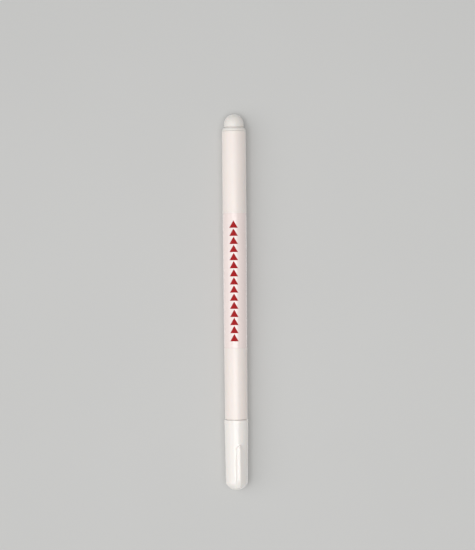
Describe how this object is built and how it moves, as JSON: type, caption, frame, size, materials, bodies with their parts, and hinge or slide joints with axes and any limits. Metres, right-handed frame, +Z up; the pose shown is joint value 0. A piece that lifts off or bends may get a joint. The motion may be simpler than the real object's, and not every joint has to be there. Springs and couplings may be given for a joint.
{
  "type": "water-erasable fabric pen",
  "caption": "Slim pen for marks on fabric that wash out with water: tapered barrel, domed end plug, pull-off ribbed cap with a sealing liner, fibre reservoir and ball tip.",
  "frame": {"origin": "on the surface that the pen lies on, under the middle of its length and width", "axes": "+Y along the pen towards the rear plug, -Y towards the cap and the writing tip, +Z up from the surface, +X to the right seen from above with the plug away"},
  "size_m": [0.0092, 0.145, 0.0098],
  "materials": {
    "barrel": "smooth moulded, soft gloss",
    "label": "satin film with a red pattern",
    "plug": "smooth moulded, satin",
    "cap": "smooth moulded, glossy",
    "nose": "natural, slightly translucent",
    "tip_metal": "fine turned",
    "ball": "polished",
    "fibre": "bonded fibre, matt",
    "film": "clear wrap",
    "liner": "natural, waxy",
    "seal": "soft, matt"
  },
  "bodies": {
    "pen": {"barrel": "barrel", "barrel_label": "label", "rear_plug": "plug", "nose_cone": "nose", "tip_socket": "tip_metal", "feed_wick": "fibre", "ink_reservoir": "fibre", "reservoir_film": "film"},
    "cap": {"cap_shell": "cap", "inner_cap": "liner", "tip_seal_pad": "seal"},
    "ball": {"writing_ball": "ball"}
  },
  "joints": [
    {"name": "cap_pull", "type": "slide", "parent": "pen", "child": "cap", "axis": [0, -1, 0], "range_m": [0, 0.03]},
    {"name": "ball_roll", "type": "hinge", "parent": "pen", "child": "ball", "pos_m": [0, -0.0683, 0.00459], "axis": [1, 0, 0], "continuous": true}
  ]
}
